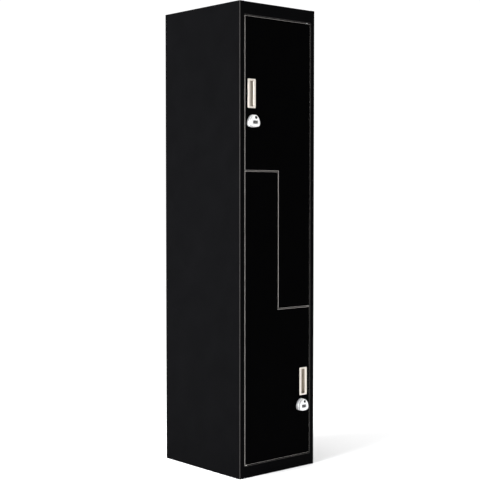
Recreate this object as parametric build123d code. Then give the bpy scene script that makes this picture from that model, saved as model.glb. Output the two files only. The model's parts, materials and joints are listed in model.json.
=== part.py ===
from build123d import *
import math
import os

# Two-door steel locker with interlocking L-shaped doors. Millimetres, +Z up, doors face -Y.
# The origin is on the floor, under the middle of the whole outline (cabinet and lock knobs).

# ---------------------------------------------------------------- carcass
cabinet_width = 390
cabinet_depth = 460
cabinet_height = 1800
carcass_sheet = 0.8
carcass_bend = 2.6            # outside radius of the carcass folds
stile_width = 22
header_height = 50
sill_height = 47
rebate_depth = 22             # depth of the recess that the doors close into
stop_lip = 12                 # lip behind the door edge
rear_flange = 15
base_return = 15
header_lip = 12

# ---------------------------------------------------------------- doors
door_gap = 3
door_thickness = 15
door_sheet = 1.0
door_bend = 2.0
door_lip = 12
upper_step_z = 1167           # height of the split between the doors, left half
lower_step_z = 635            # height of the split between the doors, right half
split_x = 0                   # upright split between the two door legs
stiffener_width = 56
stiffener_crown = 26
stiffener_slope = 3
stiffener_sheet = 0.8
stiffener_end_gap = 4

# ---------------------------------------------------------------- dividers
divider_flange = 20
divider_return = 12

# ---------------------------------------------------------------- pivots
pivot_inset = 10.5            # pivot axis from the door's hinged edge
pivot_setback = 7.5           # pivot axis behind the front face
pin_diameter = 6
pin_clearance = 0.08
pin_reach = 6                 # pin length beyond the carcass sheet
pivot_block = (12, 11, 16)
bush_wall = 1.0
bush_collar_diameter = 9.8
bush_collar_height = 1.2
bush_running_gap = 0.2
bracket_sheet = 1.5
bracket_back_margin = 6       # bracket behind the pivot axis
bracket_overhang = 7          # bracket beyond the pivot axis
bracket_leg = 20

# ---------------------------------------------------------------- handles
handle_width = 39.5
handle_height = 110
handle_corner = 3.5
handle_raise = 1.6
handle_depth = 13.4
handle_wall = 1.2
handle_rim = 5.5
lip_reach = 4.5               # lip over the deep side of the pocket
lip_nose_depth = 1.2          # behind the front face, as the other pocket depths
lip_back_depth = 3.4
scoop_floor = 5               # end of the flat floor, from the middle of the pocket
scoop_foot = 6                # foot of the steep side, beyond the middle of the pocket
scoop_foot_depth = 8
scoop_edge = 9.5              # edge of the steep side
handle_edge_margin = 14       # flange from the door's free edge
upper_handle_z = 1458
lower_handle_z = 339
cutout_clearance = 0.3

# ---------------------------------------------------------------- locks
upper_lock_z = 1350.5         # turning axis
lower_lock_z = 245
upper_lock_margin = 34.7      # turning axis from the door's free edge
lower_lock_margin = 47.4
apex_radius = 15
apex_rise = 12.4              # centre of the top corner above the turning axis
corner_radius = 12
corner_spread = 12.3          # centres of the bottom corners, from the turning axis
corner_drop = 6.5
flank_radius = 36
bottom_radius = 60
base_thickness = 13.5
base_edge_round = 3
knob_inset = 1.2
knob_gap = 1
knob_thickness = 7
knob_edge_round = 1.4
boss_diameter = 30
boss_depth = 9.9
boss_clearance = 0.5
spindle_diameter = 12
spindle_clearance = 0.08
barrel_diameter = 18.5
barrel_length = 12
nut_across_flats = 24
nut_thickness = 4
tail_square = 7
cam_thickness = 2.4
cam_width = 16
cam_gap = 1.2
cam_overlap = 10              # cam behind the stop lip, past the lip's free edge
cam_screw_diameter = 5
cam_screw_depth = 9
cam_screw_head = (9.5, 3)
cam_screw_slot = 1.2
dial_count = 3
dial_sides = 10
dial_radius = 6.5
dial_width = 5.6
dial_pitch = 6.4
dial_drop = 1.2
dial_recess = 0.3
dial_clearance = 0.5
axle_diameter = 2.4
axle_clearance = 0.08
axle_end = 2.2
plug_diameter = 9
plug_clearance = 0.08
plug_recess = 2.2
plug_length = 3.8
plug_end_gap = 0.2
plug_offset = (3.4, 16.6)
keyway = (1.8, 6.2, 2.6)

# ---------------------------------------------------------------- fittings
rail_diameter = 19
rail_wall = 1.2
rail_drop = 46                # rail axis below the sheet above it
socket_flange = 32
socket_flange_thickness = 1.6
socket_length = 12
socket_wall = 1.6
socket_clearance = 0.2
buffer_diameter = 9
buffer_edge_gap = 0.3         # from the lip's free edge
buffer_gap = 0.4
buffer_round = 2
buffer_margin = 40

# ---------------------------------------------------------------- derived places
lock_projection = base_thickness + knob_gap + knob_thickness
front_y = (lock_projection - cabinet_depth) / 2
back_y = front_y + cabinet_depth
side_x = cabinet_width / 2
inner_x = side_x - carcass_sheet
opening_x = side_x - stile_width
opening_top = cabinet_height - header_height
stop_y = front_y + rebate_depth
divider_y = stop_y + carcass_sheet
back_panel_y = back_y - 2 * carcass_sheet
door_x = opening_x - door_gap
door_top = opening_top - door_gap
door_bottom = sill_height + door_gap
door_back_y = front_y + door_thickness
half_gap = door_gap / 2
pivot_x = door_x - pivot_inset
pivot_y = front_y + pivot_setback
pin_radius = pin_diameter / 2
bush_radius = pin_radius + pin_clearance + bush_wall
divider_x = split_x - divider_flange / 2
upper_shelf_top = upper_step_z + divider_flange / 2
lower_shelf_top = lower_step_z + divider_flange / 2
knob_front_y = front_y - lock_projection
cam_front_y = stop_y + carcass_sheet + cam_gap
lip_edge_x = opening_x - stop_lip
bracket_span = (front_y + carcass_bend, pivot_y + bracket_back_margin)

# The upper door is full width above its step and keeps its right half below it.
upper_door_outline = [
    (-door_x, upper_step_z + half_gap), (split_x + half_gap, upper_step_z + half_gap),
    (split_x + half_gap, lower_step_z + half_gap), (door_x, lower_step_z + half_gap),
    (door_x, door_top), (-door_x, door_top)]
# The lower door is full width below its step and keeps its left half above it.
lower_door_outline = [
    (-door_x, door_bottom), (door_x, door_bottom), (door_x, lower_step_z - half_gap),
    (split_x - half_gap, lower_step_z - half_gap), (split_x - half_gap, upper_step_z - half_gap),
    (-door_x, upper_step_z - half_gap)]


# ---------------------------------------------------------------- shared shapes
def save(name, *shapes):
    """Write one node, which may be a group of separate solids."""
    solids = [solid for shape in shapes for solid in shape.solids()]
    export_step(solids[0] if len(solids) == 1 else Compound(solids), f"parts/{name}.step")


def block(x, y, z):
    """Solid block between pairs of coordinates."""
    size = [abs(pair[1] - pair[0]) for pair in (x, y, z)]
    return Pos(*[sum(pair) / 2 for pair in (x, y, z)]) * Box(*size)


def rod(radius, start, direction, length):
    """Round bar from a start point."""
    place = Plane(origin=start, z_dir=direction)
    return place * Cylinder(radius, length, align=(Align.CENTER, Align.CENTER, Align.MIN))


def front_prism(face, y_near, y_far):
    """A face drawn in X and Z, made solid between two depths."""
    place = Plane(origin=(0, y_far, 0), x_dir=(1, 0, 0), z_dir=(0, -1, 0))
    return extrude(place * face, amount=y_far - y_near)


def offset_corners(points, distance, closed):
    """Mitred copy of a line of points, moved to the left of its direction."""
    points = [Vector(*point) for point in points]
    count = len(points)
    moved = []
    for index, point in enumerate(points):
        sides = []
        if closed or index > 0:
            sides.append((point - points[index - 1]).normalized())
        if closed or index < count - 1:
            sides.append((points[(index + 1) % count] - point).normalized())
        lefts = [Vector(-side.Y, side.X) for side in sides]
        total = lefts[0] + lefts[-1]
        moved.append(point + total * (distance / (1 + lefts[0].dot(lefts[-1]))))
    return moved


def folded_section(points, thickness, bend):
    """Section of a folded sheet: its outer line, with the sheet to the left and rounded folds."""
    outer = [Vector(*point) for point in points]
    inner = offset_corners(points, thickness, closed=False)
    outer_radii = [0.0] * len(outer)
    inner_radii = [0.0] * len(outer)
    for index in range(1, len(outer) - 1):
        before = outer[index] - outer[index - 1]
        after = outer[index + 1] - outer[index]
        turns_left = before.cross(after).Z > 0
        outer_radii[index] = bend if turns_left else bend - thickness
        inner_radii[index] = bend - thickness if turns_left else bend
    radii = outer_radii + inner_radii[::-1]
    return make_face(FilletPolyline(*outer, *inner[::-1], radius=radii, close=True))


def upright(section, bottom, top):
    """A section drawn in X and Y, between two heights."""
    return extrude(Pos(0, 0, bottom) * section, amount=top - bottom)


def crosswise(section, left, right):
    """A section drawn in Y and Z, between two widths."""
    return extrude(Pos(left, 0, 0) * (Plane.YZ * section), amount=right - left)


def outline_face(points):
    return make_face(Polyline(*[Vector(*point) for point in points], close=True))


# ---------------------------------------------------------------- carcass
def left_side_panel():
    """Side, front stile, door recess and stop lip folded from one sheet."""
    plain = [(-side_x + rear_flange, back_y), (-side_x, back_y), (-side_x, front_y),
             (-opening_x, front_y)]
    full = plain + [(-opening_x, stop_y), (-lip_edge_x, stop_y)]
    plain_section = folded_section(plain, carcass_sheet, carcass_bend)
    full_section = folded_section(full, carcass_sheet, carcass_bend)
    panel = upright(full_section, sill_height, opening_top)
    panel += upright(plain_section, 0, sill_height)
    panel += upright(plain_section, opening_top, cabinet_height)
    return panel


def bracket_slot(x_sign, step_z):
    """Slot in the recess wall that a pivot bracket passes through."""
    half = bracket_sheet / 2
    wall = sorted((x_sign * (opening_x - 1), x_sign * (opening_x + 2 * carcass_sheet)))
    return block(wall, bracket_span, (step_z - half, step_z + half))


def top_panel():
    """Top, header and the flange that carries the upper door's top pivot, one folded sheet."""
    lip_y = stop_y - carcass_sheet
    line = [(back_y, cabinet_height - rear_flange), (back_y, cabinet_height),
            (front_y, cabinet_height), (front_y, opening_top), (stop_y, opening_top),
            (stop_y, opening_top + header_lip)]
    panel = crosswise(folded_section(line, carcass_sheet, carcass_bend), -opening_x, opening_x)
    plate = (cabinet_height - carcass_sheet, cabinet_height)
    for sign in (-1, 1):
        strip = sorted((sign * opening_x, sign * inner_x))
        flange = sorted((sign * (inner_x - carcass_sheet), sign * inner_x))
        panel += block(strip, (front_y + carcass_sheet, back_panel_y), plate)
        panel += block(flange, (lip_y + 2 * carcass_sheet, back_panel_y),
                       (cabinet_height - rear_flange, cabinet_height))
    hole = rod(bush_radius, (pivot_x, pivot_y, opening_top - 1), (0, 0, 1), 2 + carcass_sheet)
    rear_notches = [block(sorted((sign * (side_x - rear_flange), sign * side_x)),
                          (back_panel_y, back_y), (0, cabinet_height)) for sign in (-1, 1)]
    return panel - hole - rear_notches[0] - rear_notches[1]


def base_panel():
    """Floor of the locker and the sill below the lower door, one folded sheet."""
    line = [(back_panel_y, sill_height - rear_flange), (back_panel_y, sill_height),
            (front_y, sill_height), (front_y, 0), (front_y + base_return, 0)]
    panel = crosswise(folded_section(line, carcass_sheet, carcass_bend), -opening_x, opening_x)
    for sign in (-1, 1):
        strip = sorted((sign * opening_x, sign * inner_x))
        flange = sorted((sign * (inner_x - carcass_sheet), sign * inner_x))
        panel += block(strip, (divider_y, back_panel_y), (sill_height - carcass_sheet, sill_height))
        panel += block(flange, (divider_y, back_panel_y), (sill_height - rear_flange, sill_height))
    return panel - rod(bush_radius, (-pivot_x, pivot_y, sill_height - 2), (0, 0, 1), 4)


def back_panel():
    half = side_x - carcass_bend
    return block((-half, half), (back_panel_y, back_y - carcass_sheet),
                 (0, cabinet_height - carcass_bend))


def divider_partition():
    """Upright wall between the two legs, with a front stop that both doors close against."""
    line = [(divider_x + divider_return, back_panel_y), (divider_x, back_panel_y),
            (divider_x, divider_y), (divider_x + divider_flange, divider_y),
            (divider_x + divider_flange, divider_y + divider_return)]
    section = folded_section(line, carcass_sheet, carcass_bend)
    wall = upright(section, lower_shelf_top, upper_shelf_top - carcass_sheet)
    shelf_flange = block((divider_x - 1, divider_x + divider_flange + 1),
                         (divider_y, divider_y + carcass_bend),
                         (upper_step_z - divider_flange / 2, upper_shelf_top))
    return wall - shelf_flange


def divider_upper_shelf():
    """Shelf over the left leg; its front flange stops both doors along the split."""
    line = [(back_panel_y, upper_shelf_top), (divider_y, upper_shelf_top),
            (divider_y, upper_step_z - divider_flange / 2)]
    width = (-inner_x, divider_x + divider_flange)
    upturn = block(width, (back_panel_y - carcass_sheet, back_panel_y),
                   (upper_shelf_top - carcass_sheet, upper_shelf_top + divider_return))
    return crosswise(folded_section(line, carcass_sheet, carcass_bend), *width) + upturn


def divider_lower_shelf():
    """Shelf under the right leg."""
    line = [(back_panel_y, lower_shelf_top - divider_return), (back_panel_y, lower_shelf_top),
            (divider_y, lower_shelf_top), (divider_y, lower_step_z - divider_flange / 2)]
    return crosswise(folded_section(line, carcass_sheet, carcass_bend), divider_x, inner_x)


# ---------------------------------------------------------------- pivots
def pivot_bracket(x_sign, step_z, leg_sign):
    """Angle inside the stile whose tab reaches through the slot into the gap between the doors."""
    depth = bracket_span
    half = bracket_sheet / 2
    leg_x = opening_x + carcass_sheet
    tab = block(sorted((x_sign * (pivot_x - bracket_overhang), x_sign * (leg_x + bracket_sheet))),
                depth, (step_z - half, step_z + half))
    leg = block(sorted((x_sign * leg_x, x_sign * (leg_x + bracket_sheet))), depth,
                sorted((step_z + leg_sign * half, step_z + leg_sign * bracket_leg)))
    hole = rod(bush_radius, (x_sign * pivot_x, pivot_y, step_z - bracket_sheet), (0, 0, 1),
               2 * bracket_sheet)
    return tab + leg - hole


def pivot_bush(x, z_start, z_sign, plate, collar):
    """Nylon bush: a sleeve through a plate, with a collar on the side that z_sign points to."""
    sleeve = rod(bush_radius, (x, pivot_y, z_start), (0, 0, z_sign), plate)
    rim = rod(bush_collar_diameter / 2, (x, pivot_y, z_start + z_sign * plate), (0, 0, z_sign),
              collar)
    bore = rod(pin_radius + pin_clearance, (x, pivot_y, z_start - z_sign), (0, 0, z_sign),
               plate + collar + 2)
    return sleeve + rim - bore


def pivot_bushes():
    """The four pivots: header, upper door's bracket, lower door's bracket and floor."""
    half = bracket_sheet / 2
    tab_collar = half_gap - half - bush_running_gap
    return [
        pivot_bush(pivot_x, opening_top, 1, carcass_sheet, bush_collar_height),
        pivot_bush(pivot_x, lower_step_z - half, 1, bracket_sheet, tab_collar),
        pivot_bush(-pivot_x, upper_step_z + half, -1, bracket_sheet, tab_collar),
        pivot_bush(-pivot_x, sill_height - carcass_sheet, 1, carcass_sheet,
                   door_gap - bush_running_gap)]


def pivot_ends(x, low_z, low_reach, high_z, high_reach):
    """Pivot pins and the blocks that hold them, at the two ends of a hinged edge."""
    blocks, pins = [], []
    width, depth, height = pivot_block
    for end_z, sign, reach in ((low_z, 1, low_reach), (high_z, -1, high_reach)):
        inner_z = end_z + sign * door_sheet
        far_z = inner_z + sign * height
        body = block((x - width / 2, x + width / 2), (pivot_y - depth / 2, pivot_y + depth / 2),
                     sorted((inner_z, far_z)))
        pin = rod(pin_radius, (x, pivot_y, end_z - sign * reach), (0, 0, sign),
                  reach + door_sheet + height)
        blocks.append(body - pin)
        pins.append(pin)
    return blocks, pins


# ---------------------------------------------------------------- doors
def door_skin(outline):
    """Pan folded from one sheet: face, edges and a return lip all round the back."""
    body = front_prism(outline_face(outline), front_y, door_back_y)
    body = fillet(body.faces().sort_by(Axis.Y)[0].edges(), door_bend)
    inside = front_prism(outline_face(offset_corners(outline, door_sheet, True)),
                         front_y + door_sheet, door_back_y - door_sheet)
    inside = fillet(inside.faces().sort_by(Axis.Y)[0].edges(), door_bend - door_sheet)
    back = front_prism(outline_face(offset_corners(outline, door_lip, True)),
                       door_back_y - 2 * door_sheet, door_back_y + door_sheet)
    return body - inside - back


def door_stiffener(centre_x, low_z, high_z):
    """Hat channel behind the face of the longer leg."""
    near = front_y + door_sheet
    far = door_back_y - door_sheet - stiffener_sheet
    half, crown = stiffener_width / 2, stiffener_crown / 2
    foot = crown + stiffener_slope
    line = [(-half, near), (-foot, near), (-crown, far), (crown, far), (foot, near), (half, near)]
    section = folded_section([(centre_x + x, y) for x, y in line], stiffener_sheet,
                             2 * stiffener_sheet)
    end = door_sheet + stiffener_end_gap
    return upright(section, low_z + end, high_z - end)


def handle(centre_x, centre_z, free_sign):
    """Recessed cast pull: raised flange, pocket, and a lip on the side of the free edge."""
    top = front_y - handle_raise
    back = front_y + handle_depth
    bowl_half = handle_width / 2 - handle_rim
    bowl_height = handle_height - 2 * handle_rim
    flange = front_prism(RectangleRounded(handle_width, handle_height, handle_corner), top, front_y)
    flange = fillet(flange.faces().sort_by(Axis.Y)[0].edges(), handle_raise * 0.6)
    bowl = front_prism(RectangleRounded(2 * bowl_half, bowl_height, handle_corner / 2),
                       front_y - handle_raise / 2, back)
    wall = bowl_half - handle_wall
    nose = wall - lip_reach
    floor = back - handle_wall
    # Section of the pocket, from the free-edge side (positive) to the hinged side.
    line = [(nose + handle_raise, top - 1), (nose + handle_raise, top + handle_raise / 2),
            (nose, front_y + lip_nose_depth), (wall, front_y + lip_back_depth), (wall, floor),
            (scoop_floor, floor), (-scoop_foot, front_y + scoop_foot_depth), (-scoop_edge, top),
            (-scoop_edge, top - 1)]
    radii = [0, handle_raise / 4, handle_raise / 4, handle_wall, 2 * handle_wall,
             2 * handle_wall, handle_wall, 0, 0]
    pocket_face = make_face(FilletPolyline(*[Vector(free_sign * x, y) for x, y in line],
                                           radius=radii, close=True))
    reach = bowl_height / 2 - handle_wall
    return Pos(centre_x, 0, centre_z) * (flange + bowl - upright(pocket_face, -reach, reach))


def handle_cutout(centre_x, centre_z):
    """Opening in the door face that the handle's bowl drops into."""
    grow = 2 * cutout_clearance
    width = handle_width - 2 * handle_rim + grow
    height = handle_height - 2 * handle_rim + grow
    face = RectangleRounded(width, height, handle_corner / 2 + cutout_clearance)
    return Pos(centre_x, 0, centre_z) * front_prism(face, front_y - 1, front_y + 2 * door_sheet)


# ---------------------------------------------------------------- locks
def holding_arc(start, start_radius, end, end_radius, side_radius):
    """Centre of the arc of side_radius that touches two corner circles from outside."""
    near, far = side_radius - start_radius, side_radius - end_radius
    along = (end - start).normalized()
    span = (end - start).length
    foot = (near ** 2 - far ** 2 + span ** 2) / (2 * span)
    inward = Vector(-along.Y, along.X)
    return start + along * foot + inward * math.sqrt(near ** 2 - foot ** 2)


def bulged_triangle(inset):
    """Three-cornered outline with round corners and bowed sides, about the turning axis."""
    corners = [(Vector(0, apex_rise), apex_radius - inset),
               (Vector(-corner_spread, -corner_drop), corner_radius - inset),
               (Vector(corner_spread, -corner_drop), corner_radius - inset)]
    sides = [flank_radius - inset, bottom_radius - inset, flank_radius - inset]
    arcs, touches = [], []
    for index, side in enumerate(sides):
        (start, start_radius), (end, end_radius) = corners[index], corners[(index + 1) % 3]
        centre = holding_arc(start, start_radius, end, end_radius, side)
        outwards = [(point - centre).normalized() for point in (start, end)]
        touch = [centre + outward * side for outward in outwards]
        middle = centre + (outwards[0] + outwards[1]).normalized() * side
        arcs.append(ThreePointArc(touch[0], middle, touch[1]))
        touches.append(touch)
    for index, (corner, radius) in enumerate(corners):
        into, out = touches[index - 1][1], touches[index][0]
        middle = corner + ((into + out) * 0.5 - corner).normalized() * radius
        arcs.append(ThreePointArc(into, middle, out))
    return make_face(Wire.combine(arcs)[0])


def lock_base(place):
    """Housing in front of the door and the threaded barrel behind it."""
    housing = front_prism(bulged_triangle(0), front_y - base_thickness, front_y)
    housing = fillet(housing.faces().sort_by(Axis.Y)[0].edges(), base_edge_round)
    well_bottom = front_y - base_thickness - knob_gap + boss_depth + boss_clearance
    well = rod(boss_diameter / 2 + boss_clearance, (0, front_y - base_thickness - 1, 0), (0, 1, 0),
               well_bottom - front_y + base_thickness + 1)
    barrel = rod(barrel_diameter / 2, (0, front_y, 0), (0, 1, 0), barrel_length)
    bore = rod(spindle_diameter / 2 + spindle_clearance, (0, front_y - base_thickness, 0),
               (0, 1, 0), base_thickness + barrel_length + 1)
    return place * (housing + barrel - well - bore)


def lock_nut(place):
    """Hexagon nut that clamps the lock to the door face."""
    near = front_y + door_sheet
    flats = nut_across_flats / 2
    body = front_prism(RegularPolygon(flats, 6, major_radius=False), near, near + nut_thickness)
    return place * (body - rod(barrel_diameter / 2, (0, near - 1, 0), (0, 1, 0), nut_thickness + 2))


def dial_centre():
    """Depth and height of the dial axle, from the turning axis."""
    return knob_front_y + dial_recess + dial_radius, -dial_drop


def lock_knob(place):
    """Turning face with the dial window and key bore, its boss and the spindle."""
    back = knob_front_y + knob_thickness
    face = front_prism(bulged_triangle(knob_inset), knob_front_y, back)
    face = fillet(face.faces().sort_by(Axis.Y)[0].edges(), knob_edge_round)
    boss = rod(boss_diameter / 2, (0, back, 0), (0, 1, 0), boss_depth)
    spindle = rod(spindle_diameter / 2, (0, back, 0), (0, 1, 0), cam_front_y - back)
    half = tail_square / 2
    tail = block((-half, half), (cam_front_y, cam_front_y + cam_thickness), (-half, half))
    thread = rod(cam_screw_diameter / 2, (0, cam_front_y + cam_thickness + 1, 0), (0, -1, 0),
                 cam_screw_depth + 1)
    dial_y, dial_z = dial_centre()
    window_half = (dial_count * dial_pitch) / 2 + dial_clearance
    reach = dial_radius + dial_clearance
    window = block((-window_half, window_half), (knob_front_y - 1, dial_y + reach),
                   (dial_z - reach, dial_z + reach))
    axle_half = window_half + axle_end
    axle = rod(axle_diameter / 2, (-axle_half, dial_y, dial_z), (1, 0, 0), 2 * axle_half)
    plug_x, plug_z = plug_offset
    plug_bore = rod(plug_diameter / 2 + plug_clearance, (plug_x, knob_front_y - 1, plug_z),
                    (0, 1, 0), 1 + plug_recess + plug_length + plug_end_gap)
    return place * (face + boss + spindle + tail - window - axle - plug_bore - thread)


def dial_axle(place):
    """Pin that the three dials turn on."""
    dial_y, dial_z = dial_centre()
    half = (dial_count * dial_pitch) / 2 + dial_clearance + axle_end
    return place * rod(axle_diameter / 2, (-half, dial_y, dial_z), (1, 0, 0), 2 * half)


def dial(place, index):
    """Ten-sided wheel, one face for each digit."""
    dial_y, dial_z = dial_centre()
    middle = (index - (dial_count - 1) / 2) * dial_pitch
    left = middle - dial_width / 2
    section = Pos(dial_y, dial_z) * RegularPolygon(dial_radius, dial_sides,
                                                   rotation=180 / dial_sides)
    wheel = crosswise(section, left, left + dial_width)
    bore = rod(axle_diameter / 2 + axle_clearance, (left - 1, dial_y, dial_z), (1, 0, 0),
               dial_width + 2)
    return place * (wheel - bore)


def key_plug(place):
    """Round plug with a slot for the service key."""
    plug_x, plug_z = plug_offset
    near = knob_front_y + plug_recess
    width, height, depth = keyway
    plug = rod(plug_diameter / 2, (plug_x, near, plug_z), (0, 1, 0), plug_length)
    slot = block((plug_x - width / 2, plug_x + width / 2), (near - 1, near + depth),
                 (plug_z - height / 2, plug_z + height / 2))
    return place * (plug - slot)


def lock_cam(place, reach):
    """Latch plate on the spindle's square tail; it hangs down while the lock is open."""
    near, far = cam_front_y, cam_front_y + cam_thickness
    half = cam_width / 2
    plate = block((-half, half), (near, far), (half - reach, 0))
    plate += rod(half, (0, near, 0), (0, 1, 0), cam_thickness)
    plate += rod(half, (0, near, half - reach), (0, 1, 0), cam_thickness)
    tail = tail_square / 2
    return place * (plate - block((-tail, tail), (near - 1, far + 1), (-tail, tail)))


def cam_screw(place):
    """Screw that holds the latch plate."""
    head_diameter, head_height = cam_screw_head
    back = cam_front_y + cam_thickness
    shank = rod(cam_screw_diameter / 2, (0, back, 0), (0, -1, 0), cam_screw_depth)
    head = rod(head_diameter / 2, (0, back, 0), (0, 1, 0), head_height)
    head = fillet(head.faces().sort_by(Axis.Y)[-1].edges(), head_height / 3)
    recess = block((-cam_screw_slot / 2, cam_screw_slot / 2),
                   (back + head_height / 2, back + head_height + 1),
                   (-head_diameter / 2, head_diameter / 2))
    return place * (shank + head - recess)


# ---------------------------------------------------------------- fittings
def hanging_rail(left, right, rail_y, rail_z):
    """Round tube for hangers, between two walls."""
    radius = rail_diameter / 2
    start = left + socket_flange_thickness
    length = right - left - 2 * socket_flange_thickness
    return (rod(radius, (start, rail_y, rail_z), (1, 0, 0), length)
            - rod(radius - rail_wall, (start - 1, rail_y, rail_z), (1, 0, 0), length + 2))


def rail_socket(wall_x, sign, rail_y, rail_z):
    """Pressed cup welded to a wall, which the rail drops into."""
    bore = rail_diameter / 2 + socket_clearance
    cup = rod(socket_flange / 2, (wall_x, rail_y, rail_z), (sign, 0, 0), socket_flange_thickness)
    cup += rod(bore + socket_wall, (wall_x, rail_y, rail_z), (sign, 0, 0), socket_length)
    return cup - rod(bore, (wall_x + sign * socket_flange_thickness, rail_y, rail_z), (sign, 0, 0),
                     socket_length)


def door_buffer(x, z):
    """Rubber stop on the lip, just short of the closed door."""
    length = stop_y - door_back_y - buffer_gap
    body = rod(buffer_diameter / 2, (x, stop_y, z), (0, -1, 0), length)
    return fillet(body.faces().sort_by(Axis.Y)[0].edges(), buffer_round)


# ---------------------------------------------------------------- the locker
def make_carcass():
    left = left_side_panel()
    right = mirror(left, about=Plane.YZ)
    save("left_side_panel", left - bracket_slot(-1, upper_step_z))
    save("right_side_panel", right - bracket_slot(1, lower_step_z))
    save("top_panel", top_panel() - left - right)
    save("base_panel", base_panel() - left - right)
    save("back_panel", back_panel())
    save("divider_partition", divider_partition())
    save("divider_upper_shelf", divider_upper_shelf() - left)
    save("divider_lower_shelf", divider_lower_shelf() - right)
    save("upper_door_bottom_bracket", pivot_bracket(1, lower_step_z, 1))
    save("lower_door_top_bracket", pivot_bracket(-1, upper_step_z, -1))
    save("pivot_bushes", *pivot_bushes())


def make_fittings():
    rail_y = (divider_y + back_panel_y) / 2
    upper_rail_z = cabinet_height - carcass_sheet - rail_drop
    lower_rail_z = upper_shelf_top - carcass_sheet - rail_drop
    save("upper_hanging_rail", hanging_rail(-inner_x, inner_x, rail_y, upper_rail_z))
    save("upper_rail_sockets", rail_socket(-inner_x, 1, rail_y, upper_rail_z),
         rail_socket(inner_x, -1, rail_y, upper_rail_z))
    save("lower_hanging_rail", hanging_rail(-inner_x, divider_x, rail_y, lower_rail_z))
    save("lower_rail_sockets", rail_socket(-inner_x, 1, rail_y, lower_rail_z),
         rail_socket(divider_x, -1, rail_y, lower_rail_z))
    buffer_x = lip_edge_x + buffer_edge_gap + buffer_diameter / 2
    upper_span = (upper_shelf_top + buffer_margin, opening_top - buffer_margin)
    lower_span = (sill_height + buffer_margin, lower_step_z - divider_flange / 2 - buffer_margin)
    save("upper_door_buffers", *[door_buffer(-buffer_x, z) for z in upper_span])
    save("lower_door_buffers", *[door_buffer(buffer_x, z) for z in lower_span])


def make_door(side, outline, free_sign, leg_z, leg_end_z, far_z, handle_z, lock_z, lock_margin):
    """One door with its pivots, handle and lock; free_sign points to its free edge."""
    hinge_x = -free_sign * pivot_x
    handle_x = free_sign * (door_x - handle_edge_margin - handle_width / 2)
    lock_x = free_sign * (door_x - lock_margin)
    place = Pos(lock_x, 0, lock_z)
    low_z, high_z = sorted((leg_end_z, far_z))
    tab_reach = half_gap + bracket_sheet / 2
    sheet_reach = door_gap + carcass_sheet + pin_reach
    low_reach = tab_reach if leg_z < handle_z else sheet_reach
    high_reach = sheet_reach if leg_z < handle_z else tab_reach
    blocks, pins = pivot_ends(hinge_x, low_z, low_reach, high_z, high_reach)

    skin = door_skin(outline) - handle_cutout(handle_x, handle_z)
    skin -= rod(barrel_diameter / 2, (lock_x, front_y - 1, lock_z), (0, 1, 0), 2 + door_sheet)
    for pin in pins:
        skin -= pin
    save(f"{side}_door_skin", skin)
    leg_centre = -free_sign * door_x / 2
    save(f"{side}_door_stiffener", door_stiffener(leg_centre, low_z, high_z))
    save(f"{side}_door_pivot_blocks", *blocks)
    save(f"{side}_door_pivot_pins", *pins)
    save(f"{side}_handle", handle(handle_x, handle_z, free_sign))

    cam_reach = lock_margin + door_gap - stop_lip + cam_overlap
    save(f"{side}_lock_base", lock_base(place))
    save(f"{side}_lock_nut", lock_nut(place))
    save(f"{side}_lock_knob", lock_knob(place))
    save(f"{side}_lock_dial_axle", dial_axle(place))
    for index in range(dial_count):
        save(f"{side}_lock_dial_{index + 1}", dial(place, index))
    save(f"{side}_lock_key_plug", key_plug(place))
    save(f"{side}_lock_cam", lock_cam(place, cam_reach))
    save(f"{side}_lock_cam_screw", cam_screw(place))


os.makedirs("parts", exist_ok=True)
make_carcass()
make_fittings()
make_door("upper", upper_door_outline, -1, lower_step_z, lower_step_z + half_gap, door_top,
          upper_handle_z, upper_lock_z, upper_lock_margin)
make_door("lower", lower_door_outline, 1, upper_step_z, upper_step_z - half_gap, door_bottom,
          lower_handle_z, lower_lock_z, lower_lock_margin)
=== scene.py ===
import json
import math

import bmesh
import bpy
from mathutils import Matrix, Vector


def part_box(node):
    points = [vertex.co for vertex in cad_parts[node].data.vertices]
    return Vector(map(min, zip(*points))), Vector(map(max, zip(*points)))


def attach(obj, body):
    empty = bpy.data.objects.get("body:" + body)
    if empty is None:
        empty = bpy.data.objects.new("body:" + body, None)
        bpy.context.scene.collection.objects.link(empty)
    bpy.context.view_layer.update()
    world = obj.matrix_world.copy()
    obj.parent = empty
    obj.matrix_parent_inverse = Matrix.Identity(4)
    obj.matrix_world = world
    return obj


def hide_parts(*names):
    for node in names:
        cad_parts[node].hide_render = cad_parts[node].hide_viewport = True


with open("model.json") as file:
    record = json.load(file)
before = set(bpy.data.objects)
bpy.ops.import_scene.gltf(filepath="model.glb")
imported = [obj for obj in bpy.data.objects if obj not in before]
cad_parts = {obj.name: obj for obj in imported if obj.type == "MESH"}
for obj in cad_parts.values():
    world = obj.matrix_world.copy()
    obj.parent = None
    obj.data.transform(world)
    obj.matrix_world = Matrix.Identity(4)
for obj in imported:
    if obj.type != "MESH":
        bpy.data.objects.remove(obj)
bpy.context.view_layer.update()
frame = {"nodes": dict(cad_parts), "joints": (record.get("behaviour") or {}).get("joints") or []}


# ------------------------------------------------------------------ the view
# Seen from the front left at chest height with a short telephoto lens, level to within a few
# degrees, so that the uprights stay upright. Places are taken from the middle of the carcass.
carcass_low, carcass_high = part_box("left_side_panel")
carcass_middle_y = (carcass_low.y + carcass_high.y) / 2
front_y = carcass_low.y
eye = Vector((-2.9047, carcass_middle_y - 3.3631, 1.0807))
turn_right = math.radians(40.863)
look_down = math.radians(2.394)
lens = bpy.data.cameras.new("viewer")
lens.lens = 82.96
lens.sensor_width = 36
camera = bpy.data.objects.new("viewer", lens)
camera.location = eye
camera.rotation_euler = (math.radians(90) - look_down, 0, -turn_right)
bpy.context.scene.collection.objects.link(camera)
bpy.context.scene.camera = camera


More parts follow.
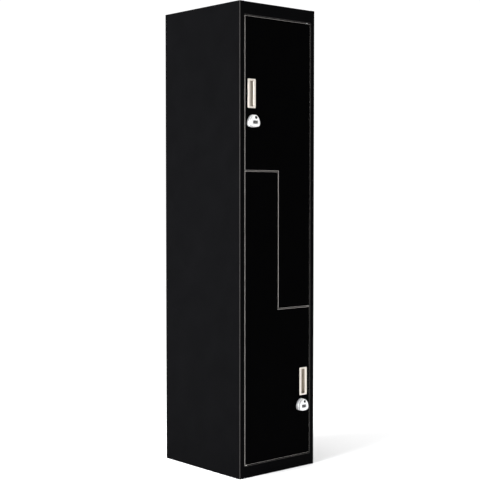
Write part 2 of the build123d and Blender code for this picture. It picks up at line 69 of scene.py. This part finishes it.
# ------------------------------------------------------------------ carcass sheets
# The sides, top, base, back and dividers are folded from 0.8 mm steel and powder coated black.
# The coat has a fine orange-peel grain and more gloss along the folds, and a pale grey highlight
# is painted into its colour there. Inside the cabinet it keeps more sheen, and its colour is
# painted lighter so that the shaded inside reads.
mm = 0.001


class Value:
    """A number or colour that varies over a surface; arithmetic on numbers adds Math nodes."""

    def __init__(self, finish, socket):
        self.finish = finish
        self.socket = socket

    def maths(self, operation, first, second=0.0):
        return self.finish.node("Math", {"operation": operation}, {0: first, 1: second})

    def __add__(self, other):
        return self.maths("ADD", self, other)

    def __sub__(self, other):
        return self.maths("SUBTRACT", self, other)

    def __rsub__(self, other):
        return self.maths("SUBTRACT", other, self)

    def __mul__(self, other):
        return self.maths("MULTIPLY", self, other)

    def __abs__(self):
        return self.maths("ABSOLUTE", self)

    __radd__ = __add__
    __rmul__ = __mul__

    def larger(self, other):
        return self.maths("MAXIMUM", self, other)

    def between(self, low, high):
        """0 below low, 1 above high, and a smooth step from one to the other."""
        return self.finish.node("MapRange", {"interpolation_type": "SMOOTHSTEP"},
                                {"Value": self, "From Min": low, "From Max": high})


class Finish:
    """A material whose constants are set at once and whose detail is linked with wear()."""

    def __init__(self, name, **constants):
        self.material = bpy.data.materials.new(name)
        self.material.use_nodes = True
        self.tree = self.material.node_tree
        self.surface = self.tree.nodes["Principled BSDF"]
        for socket, value in constants.items():
            self.surface.inputs[socket.replace("_", " ")].default_value = value

    def node(self, kind, settings=None, values=None, output=0):
        """Any node: its type, its settings, then the values or links of its sockets."""
        node = self.tree.nodes.new("ShaderNode" + kind)
        for name, setting in (settings or {}).items():
            setattr(node, name, setting)
        for key, value in (values or {}).items():
            if isinstance(value, Value):
                self.tree.links.new(value.socket, node.inputs[key])
            else:
                node.inputs[key].default_value = value
        return Value(self, node.outputs[output])

    def place(self):
        """Position in the cabinet's own frame, which turns with the piece."""
        return self.node("TexCoord", output="Object")

    def noise(self, size, detail=2.0, roughness=0.5, factors=(1, 1, 1)):
        """Noise whose blotches are about that size in metres, longer where a factor is small."""
        stretched = self.node("VectorMath", {"operation": "MULTIPLY"},
                              {0: self.place(), 1: factors})
        return self.node("TexNoise", {}, {"Vector": stretched, "Scale": 1 / size,
                                          "Detail": detail, "Roughness": roughness})

    def mix(self, factor, first, second):
        """Colour between two colours, each a link or red, green and blue."""
        first, second = [colour if isinstance(colour, Value) else (*colour, 1)
                         for colour in (first, second)]
        return self.node("Mix", {"data_type": "RGBA"}, {0: factor, 6: first, 7: second}, 2)

    def relief(self, height, depth, under=None):
        """Bumps of that depth in metres for a height from 0 to 1."""
        values = {"Height": height, "Distance": depth, "Strength": 1.0}
        if under is not None:
            values["Normal"] = under
        return self.node("Bump", {}, values)

    def wear(self, **sockets):
        for socket, value in sockets.items():
            self.tree.links.new(value.socket, self.surface.inputs[socket.replace("_", " ")])
        return self.material


grain_size, grain_depth = 0.9 * mm, 0.03 * mm
wave_size, wave_depth = 250 * mm, 0.5 * mm


def powder_coat(name, tone, fold_highlight_tone, fold_gloss, sheen):
    """Black coat on slightly wavy sheet; the folds are where the surface turns off the axes, and
    there a pale highlight is painted into its colour.
    """
    coat = Finish(name, Specular_IOR_Level=sheen, Coat_Roughness=0.3)
    facing = coat.node("VectorTransform", {"vector_type": "NORMAL", "convert_from": "WORLD",
                                           "convert_to": "OBJECT"},
                       {0: coat.node("NewGeometry", output="Normal")})
    across, along, up = [abs(coat.node("SeparateXYZ", {}, {0: facing}, axis))
                         for axis in range(3)]
    fold = (1 - across.larger(along).larger(up)).between(0.02, 0.25)
    speckle = coat.noise(grain_size, detail=3, roughness=0.6)
    cloud = coat.noise(90 * mm, detail=3)
    thin, thick = [c * 1.4 for c in tone], [c * 0.7 for c in tone]
    # Painted highlight: along the folds the colour is mixed towards a pale grey tone.
    painted_fold_highlight = fold * (0.75 + 0.5 * speckle)
    flat = coat.mix(cloud * 0.6 + speckle * 0.4, thick, thin)
    wave = coat.relief(coat.noise(wave_size, detail=1), wave_depth)
    return coat.wear(Base_Color=coat.mix(painted_fold_highlight, flat, fold_highlight_tone),
                     Roughness=0.46 + 0.12 * cloud - 0.12 * fold, Coat_Weight=fold_gloss * fold,
                     Normal=coat.relief(speckle, grain_depth, under=wave))


def refinish(node, material):
    """Give a CAD piece its finish."""
    mesh = frame["nodes"][node].data
    mesh.materials.clear()
    mesh.materials.append(material)


outer_sheen, inner_sheen = 0.002, 0.12
# The carcass folds get a faint painted highlight, a dark grey of 0.058.
carcass_coat = powder_coat("carcass_powder_coat", (0.0021, 0.0021, 0.0023),
                           (0.058, 0.055, 0.053), 0.25, outer_sheen)
for sheet in ("left_side_panel", "right_side_panel", "top_panel", "base_panel"):
    refinish(sheet, carcass_coat)
# A lighter copy of the black coat: its colour and its fold highlight are painted paler so that the
# shaded inside of the cabinet reads.
inner_coat = powder_coat("inner_powder_coat", (0.006, 0.006, 0.0065),
                         (0.1, 0.095, 0.092), 0.4, inner_sheen)
for sheet in ("back_panel", "divider_partition", "divider_upper_shelf", "divider_lower_shelf",
              "upper_door_bottom_bracket", "lower_door_top_bracket"):
    refinish(sheet, inner_coat)


# ------------------------------------------------------------------ rails, pins and zinc hardware
# Hanging tubes in welded cups, pivot pins, nuts, cams and screws: bright zinc plated steel with
# the faint blotches of the plating bath.
zinc = Finish("zinc_plate", Metallic=1.0)
blotch = zinc.noise(12 * mm, detail=4, roughness=0.6)
scratch = zinc.noise(1.2 * mm, detail=2, factors=(0.15, 1, 1))
zinc_plate = zinc.wear(Base_Color=zinc.mix(blotch, (0.50, 0.52, 0.56), (0.68, 0.68, 0.66)),
                       Roughness=0.24 + 0.14 * blotch + 0.08 * scratch,
                       Normal=zinc.relief(scratch, 0.02 * mm))
for side in ("upper", "lower"):
    for part in ("hanging_rail", "rail_sockets", "door_pivot_pins", "lock_nut", "lock_dial_axle",
                 "lock_cam", "lock_cam_screw"):
        refinish(f"{side}_{part}", zinc_plate)


# ------------------------------------------------------------------ bushes and buffers
# Natural nylon bushes, turned and pressed into the pivot holes, and moulded black rubber buffers
# stuck on the stop lips.
nylon = Finish("nylon")
nylon_cloud = nylon.noise(3 * mm, detail=3)
refinish("pivot_bushes", nylon.wear(
    Base_Color=nylon.mix(nylon_cloud, (0.68, 0.66, 0.6), (0.78, 0.77, 0.72)),
    Roughness=0.4 + 0.15 * nylon_cloud))
rubber = Finish("buffer_rubber", Specular_IOR_Level=0.3)
rubber_cloud = rubber.noise(1.5 * mm, detail=4)
rubber_skin = rubber.wear(
    Base_Color=rubber.mix(rubber_cloud, (0.012, 0.012, 0.012), (0.03, 0.03, 0.03)),
    Roughness=0.65 + 0.25 * rubber_cloud, Normal=rubber.relief(rubber_cloud, 0.03 * mm))
for buffers in ("upper_door_buffers", "lower_door_buffers"):
    refinish(buffers, rubber_skin)


# ------------------------------------------------------------------ doors
# Each door is an L-shaped pan folded from 1 mm steel and powder coated black, with a hat channel
# and pivot blocks fixed behind its face.
# The door folds get a strong painted highlight, pale grey up to 0.5, which draws the light lines
# round the doors.
door_coat = powder_coat("door_powder_coat", (0.0008, 0.0008, 0.0009),
                        (0.5, 0.47, 0.45), 0.6, outer_sheen)
for side in ("upper", "lower"):
    refinish(f"{side}_door_skin", door_coat)
    for part in ("stiffener", "pivot_blocks"):
        refinish(f"{side}_door_{part}", inner_coat)


# ------------------------------------------------------------------ handles
# A zinc casting, satin nickel plated: a raised flange round a finger pocket. A rolled lip on the
# side of the free edge overhangs the deep end of the pocket, and the other side drops steeply to
# a scooped floor. It sits in a cut-out in the door and clips behind it.
sharp_angle = math.radians(38)


def add_piece(name, builder, material, body, slot, *nodes):
    """Link a finished mesh as a piece that rides on a body and stands for CAD nodes."""
    mesh = bpy.data.meshes.new(name)
    bmesh.ops.recalc_face_normals(builder, faces=builder.faces)
    builder.to_mesh(mesh)
    builder.free()
    mesh.materials.append(material)
    mesh.polygons.foreach_set("use_smooth", [True] * len(mesh.polygons))
    mesh.set_sharp_from_angle(angle=sharp_angle)
    piece = bpy.data.objects.new(name, mesh)
    bpy.context.scene.collection.objects.link(piece)
    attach(piece, body)
    if nodes:
        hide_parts(*nodes)


def loft(rings, closed=False):
    """A skin over rings of points, capped at its ends unless it closes on itself."""
    builder = bmesh.new()
    rows = [[builder.verts.new(point) for point in ring] for ring in rings]
    pairs = list(zip(rows, rows[1:]))
    if closed:
        pairs.append((rows[-1], rows[0]))
    else:
        builder.faces.new(rows[0])
        builder.faces.new(rows[-1][::-1])
    for near, far in pairs:
        for index in range(len(near)):
            after = (index + 1) % len(near)
            builder.faces.new((near[index], far[index], far[after], near[after]))
    return builder


def satin_plate(name, metallic, pale_tone, deep_tone, roughness, brush, shade_depth, shade_reach,
                shade_tone):
    """Plated casting brushed along brush, with shade painted into its colour near a set depth from
    the front plane.
    """
    plate = Finish(name, Metallic=metallic)
    brushed = plate.noise(0.35 * mm, detail=3, roughness=0.65, factors=brush)
    cloud = plate.noise(14 * mm, detail=3)
    depth = plate.node("SeparateXYZ", {}, {0: plate.place()}, 1) - (front_y + shade_depth * mm)
    # Painted shade: near that depth the colour darkens towards the given tone.
    painted_shade = 1 - abs(depth).between(0.3 * shade_reach * mm, shade_reach * mm)
    bright = plate.mix(cloud * 0.6 + brushed * 0.4, deep_tone, pale_tone)
    return plate.wear(Base_Color=plate.mix(painted_shade, bright, shade_tone),
                      Roughness=roughness - 0.06 + 0.12 * brushed + 0.05 * cloud + 0.1 * painted_shade,
                      Normal=plate.relief(brushed, 0.01 * mm))


# The pocket's colour is darkened with painted shade from the flange down to its floor, 12 mm deep.
satin_nickel = satin_plate("satin_nickel", 0.9, (0.76, 0.71, 0.65), (0.65, 0.6, 0.54), 0.3,
                           (1, 1, 0.04), 12.0, 11.0, (0.42, 0.375, 0.32))

# Rings from the pocket floor, over the flange, to the back of the bowl. Each gives the place of
# its free side and its hinged side (across, depth), half its height and its corner radius.
handle_rings = [
    ((9.0, 12.1), (2.2, 11.3), 45.0, 1.6),
    ((11.0, 11.9), (0.2, 10.5), 46.4, 2.0),
    ((12.3, 11.0), (-1.8, 9.6), 47.2, 2.0),
    ((13.0, 9.4), (-3.6, 8.8), 47.7, 2.0),
    ((13.1, 7.4), (-5.2, 8.0), 48.0, 2.0),
    ((13.1, 5.0), (-6.4, 7.0), 48.2, 2.0),
    ((12.7, 3.4), (-7.1, 5.8), 48.3, 2.0),
    ((11.6, 2.5), (-7.7, 4.4), 48.3, 2.0),
    ((10.1, 1.9), (-8.2, 3.1), 48.35, 2.0),
    ((9.2, 1.3), (-8.7, 1.8), 48.4, 2.0),
    ((8.9, 0.5), (-9.2, 0.5), 48.5, 2.0),
    ((9.1, -0.3), (-9.5, -0.5), 48.6, 2.0),
    ((9.7, -1.0), (-9.75, -1.1), 48.75, 2.0),
    ((10.6, -1.45), (-10.1, -1.45), 49.0, 2.0),
    ((11.6, -1.6), (-10.6, -1.6), 49.4, 2.0),
    ((18.4, -1.6), (-18.4, -1.6), 53.65, 2.4),
    ((19.1, -1.45), (-19.1, -1.45), 54.35, 2.9),
    ((19.55, -1.05), (-19.55, -1.05), 54.8, 3.3),
    ((19.75, -0.5), (-19.75, -0.5), 55.0, 3.5),
    ((19.75, 0.0), (-19.75, 0.0), 55.0, 3.5),
    ((14.2, 0.0), (-14.2, 0.0), 49.45, 1.75),
    ((14.2, 12.0), (-14.2, 12.0), 49.45, 1.75),
    ((13.8, 13.0), (-13.8, 13.0), 49.05, 1.5),
    ((12.8, 13.4), (-12.8, 13.4), 48.05, 1.0)]
corner_steps = 7
side_steps = 10


def handle_ring(centre, free_sign, free, hinged, half_height, radius):
    """A round-cornered loop whose depth runs evenly from one side to the other."""
    (free_x, free_depth), (hinged_x, hinged_depth) = free, hinged
    right, left, top = free_x - radius, hinged_x + radius, half_height - radius
    corners = [(right, top, 0), (left, top, 90), (left, -top, 180), (right, -top, 270)]
    bends = []
    for across, height, start in corners:
        for step in range(corner_steps + 1):
            angle = math.radians(start + 90 * step / corner_steps)
            bends.append((across + radius * math.cos(angle), height + radius * math.sin(angle)))
    flat = []
    for index, (across, height) in enumerate(bends):
        flat.append((across, height))
        if index % (corner_steps + 1) == corner_steps:
            next_across, next_height = bends[(index + 1) % len(bends)]
            for step in range(1, side_steps):
                share = step / side_steps
                flat.append((across + (next_across - across) * share,
                             height + (next_height - height) * share))
    slope = (free_depth - hinged_depth) / (free_x - hinged_x)
    return [Vector((centre.x + free_sign * across * mm,
                    front_y + (hinged_depth + (across - hinged_x) * slope) * mm,
                    centre.z + height * mm)) for across, height in flat]


for side, free_sign in (("upper", -1), ("lower", 1)):
    low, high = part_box(f"{side}_handle")
    centre = (low + high) / 2
    add_piece(f"{side}_pull_handle",
              loft([handle_ring(centre, free_sign, *ring) for ring in handle_rings]),
              satin_nickel, f"{side}_door", "satin_nickel", f"{side}_handle")


# ------------------------------------------------------------------ lock housing
# Zinc casting, satin chrome plated, in a three-cornered outline with round corners and bowed
# sides. Its front edge is well rounded, the turning face sits in its well, and the threaded
# barrel behind passes through the door to the nut.
# A band of painted shade darkens the colour 14 mm in front of the door, where the turning face
# meets the housing.
satin_chrome = satin_plate("satin_chrome", 0.75, (0.92, 0.92, 0.92), (0.84, 0.84, 0.84), 0.3,
                           (1, 1, 1), -14.0, 1.7, (0.16, 0.15, 0.15))
joints = {joint["name"]: joint for joint in frame["joints"]}
apex = (Vector((0, 12.4)), 15.0)
left_corner = (Vector((-12.3, -6.5)), 12.0)
right_corner = (Vector((12.3, -6.5)), 12.0)
outline_sides = [(apex, left_corner, 36.0), (left_corner, right_corner, 60.0),
                 (right_corner, apex, 36.0)]
corner_points = 14
side_points = 16
housing_height = 13.5
housing_round = 3.4
well_radius = 15.5
well_depth = -4.1
bore_radius = 6.1
barrel_radius = 9.25
barrel_length = 12.0
thread_pitch = 1.0
thread_end = 0.6
thread_depth = 0.45
edge_break = 0.4
well_chamfer = 0.5


def arc(centre, radius, into, out, count):
    """Points from one direction round to another, the last one left out."""
    return [centre + into.slerp(out, step / count) * radius for step in range(count)]


def bowed_outline(inset):
    """Points of the outline about the turning axis, with the same count at every inset."""
    bows = []
    for (start, start_radius), (end, end_radius), side_radius in outline_sides:
        near, far = side_radius - start_radius, side_radius - end_radius
        along = (end - start).normalized()
        span = (end - start).length
        foot = (near ** 2 - far ** 2 + span ** 2) / (2 * span)
        inward = Vector((-along.y, along.x))
        centre = start + along * foot + inward * math.sqrt(near ** 2 - foot ** 2)
        bows.append((centre, side_radius, (start - centre).normalized(),
                     (end - centre).normalized()))
    points = []
    for index, (centre, side_radius, into, out) in enumerate(bows):
        corner, corner_radius = outline_sides[index][0]
        points += arc(corner, corner_radius - inset, bows[index - 1][3], into, corner_points)
        points += arc(centre, side_radius - inset, into, out, side_points)
    return points


def outline_ring(place, inset, depth):
    return [Vector((place.x + point.x * mm, front_y + depth * mm, place.z + point.y * mm))
            for point in bowed_outline(inset)]


def oval_ring(place, half_width, half_height, power, centre_z, depth):
    """A loop whose points stand in the same directions as the outline's: power 2 is round."""
    ring = []
    for point in bowed_outline(0):
        facing = point.normalized()
        reach = ((abs(facing.x) / half_width) ** power
                 + (abs(facing.y) / half_height) ** power) ** (-1 / power)
        ring.append(Vector((place.x + facing.x * reach * mm, front_y + depth * mm,
                            place.z + (centre_z + facing.y * reach) * mm)))
    return ring


def round_ring(place, radius, depth):
    return oval_ring(place, radius, radius, 2, 0, depth)


def rounded_edge(place, inset, depth, radius, steps):
    """Rings round a front edge, from the side wall to the face."""
    rings = []
    for step in range(steps + 1):
        angle = math.radians(90 * step / steps)
        rings.append(outline_ring(place, inset + radius * (1 - math.cos(angle)),
                                  depth + radius * (1 - math.sin(angle))))
    return rings


for side in ("upper", "lower"):
    place = Vector(joints[f"{side}_lock_quarter_turn"]["pos_m"])
    rings = [outline_ring(place, edge_break, 0), outline_ring(place, 0, -edge_break)]
    rings += rounded_edge(place, 0, -housing_height, housing_round, 7)
    rings += [round_ring(place, well_radius + well_chamfer, -housing_height),
              round_ring(place, well_radius, well_chamfer - housing_height),
              round_ring(place, well_radius, well_depth),
              round_ring(place, bore_radius, well_depth),
              round_ring(place, bore_radius, barrel_length),
              round_ring(place, barrel_radius - thread_depth, barrel_length)]
    for turn in range(int((barrel_length - 1) / thread_pitch)):
        back = barrel_length - edge_break - turn * thread_pitch
        rings.append(round_ring(place, barrel_radius, back - thread_pitch * 0.25))
        rings.append(round_ring(place, barrel_radius - thread_depth, back - thread_pitch * 0.75))
    rings += [round_ring(place, barrel_radius, thread_end), round_ring(place, barrel_radius, 0)]
    add_piece(f"{side}_lock_housing", loft(rings, closed=True), satin_chrome, f"{side}_door",
              "satin_chrome", f"{side}_lock_base")


# ------------------------------------------------------------------ turning face
# The face, the boss in the well and the spindle are one casting. A thin face plate with the dial
# window and the key hole is let into its rim; a line runs round it, and a shallow groove runs
# round its middle.
face_depth = -21.5
face_back = -14.5
rim_inset = 1.2
rim_round = 1.4
back_round = 1.3
plate_inset = 4.2
plate_gap = 0.9
plate_chamfer = 0.35
plate_thickness = 1.3
groove_inset = 8.6
groove_width = 0.9
groove_depth = 0.4
boss_radius = 15.0
boss_back = -4.6
boss_chamfer = 0.5
cavity_half_width = 12.8
cavity_half_height = 7.1
cavity_depth = -7.4
cavity_power = 6
spindle_radius = 6.0
window_width, window_height = 23.0, 12.2
window_corner = 1.6
hole_chamfer = 0.5
cut_reach = 0.5                 # past the faces that a cutter goes through
cut_flare = 0.2
plug_clearance = 0.12
plug_end_gap = 0.1
lining_radius = 5.6
lining_gap = 0.1


def slot_ring(place, centre_z, width, height, corner, depth, steps=6):
    """A round-cornered rectangle, for the dial window."""
    ring = []
    for sign_x, sign_z, start in ((1, 1, 0), (-1, 1, 90), (-1, -1, 180), (1, -1, 270)):
        for step in range(steps + 1):
            angle = math.radians(start + 90 * step / steps)
            across = sign_x * (width / 2 - corner) + corner * math.cos(angle)
            height_above = centre_z + sign_z * (height / 2 - corner) + corner * math.sin(angle)
            ring.append(Vector((place.x + across * mm, front_y + depth * mm,
                                place.z + height_above * mm)))
    return ring


def hole_cutter(make_ring, chamfer, front, back):
    """A through hole with a chamfered front edge; make_ring takes a growth and a depth."""
    return loft([make_ring(chamfer + cut_flare, front - cut_flare), make_ring(0, front + chamfer),
                 make_ring(0, back)])


def carve(builder, cutters):
    """The shape with the cutters' shapes taken out of it."""
    carriers = []
    for shape in [builder] + cutters:
        bmesh.ops.recalc_face_normals(shape, faces=shape.faces)
        mesh = bpy.data.meshes.new("carrier")
        shape.to_mesh(mesh)
        shape.free()
        carriers.append(bpy.data.objects.new("carrier", mesh))
        bpy.context.scene.collection.objects.link(carriers[-1])
    for carrier in carriers[1:]:
        cut = carriers[0].modifiers.new("cut", "BOOLEAN")
        cut.solver = "EXACT"
        cut.object = carrier
    evaluated = carriers[0].evaluated_get(bpy.context.evaluated_depsgraph_get())
    carved = bmesh.new()
    carved.from_mesh(bpy.data.meshes.new_from_object(evaluated))
    for carrier in carriers:
        bpy.data.objects.remove(carrier)
    return carved


for side in ("upper", "lower"):
    place = Vector(joints[f"{side}_lock_quarter_turn"]["pos_m"])
    dial_z = (joints[f"{side}_dial_2_spin"]["pos_m"][2] - place.z) / mm
    plug_place = Vector(joints[f"{side}_key_turn"]["pos_m"])
    plug_low, plug_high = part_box(f"{side}_lock_key_plug")
    plug_radius = (plug_high.x - plug_low.x) / 2 / mm
    plug_back = (plug_high.y - front_y) / mm
    cam_front = (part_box(f"{side}_lock_cam")[0].y - front_y) / mm
    ledge_depth = face_depth + plate_thickness

    def window(growth, depth):
        return slot_ring(place, dial_z, window_width + 2 * growth, window_height + 2 * growth,
                         window_corner + growth, depth)

    def key_hole(growth, depth):
        return round_ring(plug_place, lining_radius + growth, depth)

    def cavity(depth):
        return oval_ring(place, cavity_half_width, cavity_half_height, cavity_power, dial_z, depth)

    rings = [cavity(cavity_depth), cavity(ledge_depth),
             outline_ring(place, plate_inset, ledge_depth),
             outline_ring(place, plate_inset, face_depth + plate_chamfer),
             outline_ring(place, plate_inset - plate_chamfer, face_depth)]
    rings += rounded_edge(place, rim_inset, face_depth, rim_round, 6)[::-1]
    rings += [outline_ring(place, rim_inset, face_back - back_round),
              outline_ring(place, rim_inset + back_round * 0.3, face_back - back_round * 0.3),
              outline_ring(place, rim_inset + back_round, face_back),
              round_ring(place, boss_radius, face_back),
              round_ring(place, boss_radius, boss_back - boss_chamfer),
              round_ring(place, boss_radius - boss_chamfer, boss_back),
              round_ring(place, spindle_radius, boss_back),
              round_ring(place, spindle_radius, cam_front)]
    bore = plug_radius + plug_clearance
    plug_bore = loft([round_ring(plug_place, bore, ledge_depth - cut_reach),
                      round_ring(plug_place, bore, plug_back + plug_end_gap)])
    add_piece(f"{side}_lock_knob_casting", carve(loft(rings), [plug_bore]), satin_chrome,
              f"{side}_lock_turn", "satin_chrome", f"{side}_lock_knob")

    edge_inset = plate_inset + plate_gap
    groove_floor = face_depth + groove_depth
    rings = [outline_ring(place, edge_inset, ledge_depth),
             outline_ring(place, edge_inset, face_depth + plate_chamfer),
             outline_ring(place, edge_inset + plate_chamfer, face_depth),
             outline_ring(place, groove_inset, face_depth),
             outline_ring(place, groove_inset + groove_depth, groove_floor),
             outline_ring(place, groove_inset + groove_width, groove_floor),
             outline_ring(place, groove_inset + groove_width + groove_depth, face_depth)]
    holes = [hole_cutter(make_ring, hole_chamfer, face_depth, ledge_depth + cut_reach)
             for make_ring in (window, key_hole)]
    add_piece(f"{side}_lock_face_plate", carve(loft(rings), holes), satin_chrome,
              f"{side}_lock_turn", "satin_chrome")


# ------------------------------------------------------------------ dials
# Black moulded wheels with ten flats, a notch between each two, and a white numeral printed on
# each flat. Three stand side by side on a steel axle across the turning face.
dial_plastic = Finish("dial_plastic")
dial_cloud = dial_plastic.noise(0.8 * mm, detail=3)
dial_skin = dial_plastic.wear(
    Base_Color=dial_plastic.mix(dial_cloud, (0.02, 0.02, 0.021), (0.045, 0.045, 0.046)),
    Roughness=0.32 + 0.2 * dial_cloud, Normal=dial_plastic.relief(dial_cloud, 0.02 * mm))
numeral_paint = Finish("numeral_paint")
paint_cloud = numeral_paint.noise(0.5 * mm, detail=3)
numeral_skin = numeral_paint.wear(
    Base_Color=numeral_paint.mix(paint_cloud, (0.6, 0.6, 0.58), (0.8, 0.8, 0.78)),
    Roughness=0.45 + 0.2 * paint_cloud)
flat_count = 10
wheel_radius = 6.5
flat_radius = wheel_radius * math.cos(math.pi / flat_count)
flat_edge = 14                  # degrees from the middle of a flat
notch_middle = 18
wheel_half = 2.8
wheel_chamfer = 0.35
wheel_bore = 1.3
notch_depth = 0.45
numeral_size = 4.3
numeral_half_thickness = 0.04
numeral_lift = 0.03


def wheel_ring(centre, across, shrink, bore=False):
    """One section of a wheel; the flats face outwards with a notch at each corner."""
    ring = []
    for flat in range(flat_count):
        for turned in (-flat_edge, -flat_edge / 2, 0, flat_edge / 2, flat_edge, notch_middle):
            angle = math.radians(flat * 360 / flat_count + turned)
            radius = flat_radius / math.cos(math.radians(min(abs(turned), flat_edge))) - shrink
            if turned == notch_middle:
                radius -= notch_depth
            if bore:
                radius = wheel_bore
            ring.append(centre + Vector((across * mm, -radius * mm * math.cos(angle),
                                         radius * mm * math.sin(angle))))
    return ring


def numeral(digit, angle, centre):
    """The mesh of a raised numeral on the flat that faces that way."""
    text = bpy.data.curves.new("numeral", "FONT")
    text.body = str(digit)
    text.size = numeral_size * mm
    text.align_x = "CENTER"
    text.align_y = "CENTER"
    text.extrude = numeral_half_thickness * mm
    text.resolution_u = 3
    outward = Vector((0, -math.cos(angle), math.sin(angle)))
    upward = Vector((0, math.sin(angle), math.cos(angle)))
    turn = Matrix((Vector((1, 0, 0)), upward, outward)).transposed().to_4x4()
    seat = centre + outward * (flat_radius + numeral_lift) * mm
    carrier = bpy.data.objects.new("carrier", text)
    bpy.context.scene.collection.objects.link(carrier)
    evaluated = carrier.evaluated_get(bpy.context.evaluated_depsgraph_get())
    mesh = bpy.data.meshes.new_from_object(evaluated)
    mesh.transform(Matrix.Translation(seat) @ turn)
    bpy.data.objects.remove(carrier)
    return mesh


shown_digits = {"upper": (4, 0, 7), "lower": (2, 8, 5)}
for side in ("upper", "lower"):
    for index in (1, 2, 3):
        centre = Vector(joints[f"{side}_dial_{index}_spin"]["pos_m"])
        rings = [wheel_ring(centre, -wheel_half, 0, bore=True),
                 wheel_ring(centre, -wheel_half, wheel_chamfer),
                 wheel_ring(centre, wheel_chamfer - wheel_half, 0),
                 wheel_ring(centre, wheel_half - wheel_chamfer, 0),
                 wheel_ring(centre, wheel_half, wheel_chamfer),
                 wheel_ring(centre, wheel_half, 0, bore=True)]
        add_piece(f"{side}_dial_wheel_{index}", loft(rings, closed=True), dial_skin,
                  f"{side}_dial_{index}", "dial_plastic", f"{side}_lock_dial_{index}")
        numerals = bmesh.new()
        for flat in range(flat_count):
            digit = (shown_digits[side][index - 1] + flat) % flat_count
            numerals.from_mesh(numeral(digit, math.tau * flat / flat_count, centre))
        add_piece(f"{side}_dial_numerals_{index}", numerals, numeral_skin,
                  f"{side}_dial_{index}", "dial_plastic")


# ------------------------------------------------------------------ key plugs
# A black-oxided plug for the service key, set well below the face plate, and a black lining
# pressed into the key hole round it.
oxide = Finish("black_oxide", Metallic=0.3, Specular_IOR_Level=0.2)
oxide_cloud = oxide.noise(0.7 * mm, detail=3)
oxide_skin = oxide.wear(
    Base_Color=oxide.mix(oxide_cloud, (0.003, 0.003, 0.003), (0.01, 0.01, 0.01)),
    Roughness=0.35 + 0.25 * oxide_cloud, Normal=oxide.relief(oxide_cloud, 0.01 * mm))
seat_gap = 0.02
lining_lip = 0.5
lining_slope = 0.4
for side in ("upper", "lower"):
    refinish(f"{side}_lock_key_plug", oxide_skin)
    plug_place = Vector(joints[f"{side}_key_turn"]["pos_m"])
    outer, back = lining_radius - lining_gap, ledge_depth - seat_gap
    rings = [round_ring(plug_place, radius, depth) for radius, depth in
             ((outer, back), (bore, back), (bore, face_depth + lining_slope),
              (lining_radius - lining_lip, face_depth), (outer, face_depth))]
    add_piece(f"{side}_lock_key_lining", loft(rings, closed=True), oxide_skin,
              f"{side}_lock_turn", "key_plug_metal")


# ------------------------------------------------------------------ floor and light
# A pale floor in a white surround, a softbox at the left and a small one overhead. A black card
# beside the viewer, which the viewer doesn't see, puts the dark lines in the bright metal.
half_floor = 7.0
floor_mesh = bpy.data.meshes.new("floor")
floor_mesh.from_pydata([(x * half_floor, y * half_floor, 0) for x, y in
                        ((-1, -1), (1, -1), (1, 1), (-1, 1))], [], [(0, 1, 2, 3)])
floor = bpy.data.objects.new("floor", floor_mesh)
bpy.context.scene.collection.objects.link(floor)
pale = Finish("pale_floor", Roughness=0.9, Specular_IOR_Level=0.1)
floor_grain = pale.noise(0.02, detail=4)
floor_mesh.materials.append(pale.wear(
    Base_Color=pale.mix(floor_grain, (0.93, 0.93, 0.93), (0.96, 0.96, 0.96))))

half_card, card_foot, card_top = 0.85, 0.1, 2.4
card_mesh = bpy.data.meshes.new("black_card")
card_mesh.from_pydata([(-half_card, 0, card_foot), (half_card, 0, card_foot),
                       (half_card, 0, card_top), (-half_card, 0, card_top)],
                      [], [(0, 1, 2, 3)])
card = bpy.data.objects.new("black_card", card_mesh)
card.location = (-1.75, -2.1, 0)
card.rotation_euler = (0, 0, -turn_right)
card.visible_camera = False
bpy.context.scene.collection.objects.link(card)
cloth = Finish("card_cloth", Specular_IOR_Level=0.05, Roughness=0.95)
cloth_weave = cloth.noise(1.5 * mm, detail=3)
card_mesh.materials.append(cloth.wear(
    Base_Color=cloth.mix(cloth_weave, (0.01, 0.01, 0.01), (0.03, 0.03, 0.03))))

surround = bpy.data.worlds.new("surround")
surround.use_nodes = True
white = surround.node_tree.nodes["Background"]
white.inputs["Color"].default_value = (1, 1, 1, 1)
white.inputs["Strength"].default_value = 1.06
bpy.context.scene.world = surround
bpy.context.scene.view_settings.view_transform = "Standard"


lit_middle = Vector((0, 0, 0.95))


def softbox(name, place, width, height, watts, colour):
    light = bpy.data.lights.new(name, "AREA")
    light.shape = "RECTANGLE"
    light.size = width
    light.size_y = height
    light.energy = watts
    light.color = colour
    box = bpy.data.objects.new(name, light)
    box.location = place
    box.rotation_euler = (lit_middle - Vector(place)).to_track_quat("-Z", "Y").to_euler()
    bpy.context.scene.collection.objects.link(box)


softbox("left_softbox", (-2.7, 0.2, 1.35), 2.2, 1.6, 240, (0.97, 0.98, 1.0))
softbox("top_softbox", (0.3, -0.8, 3.6), 1.8, 1.8, 20, (1, 1, 1))
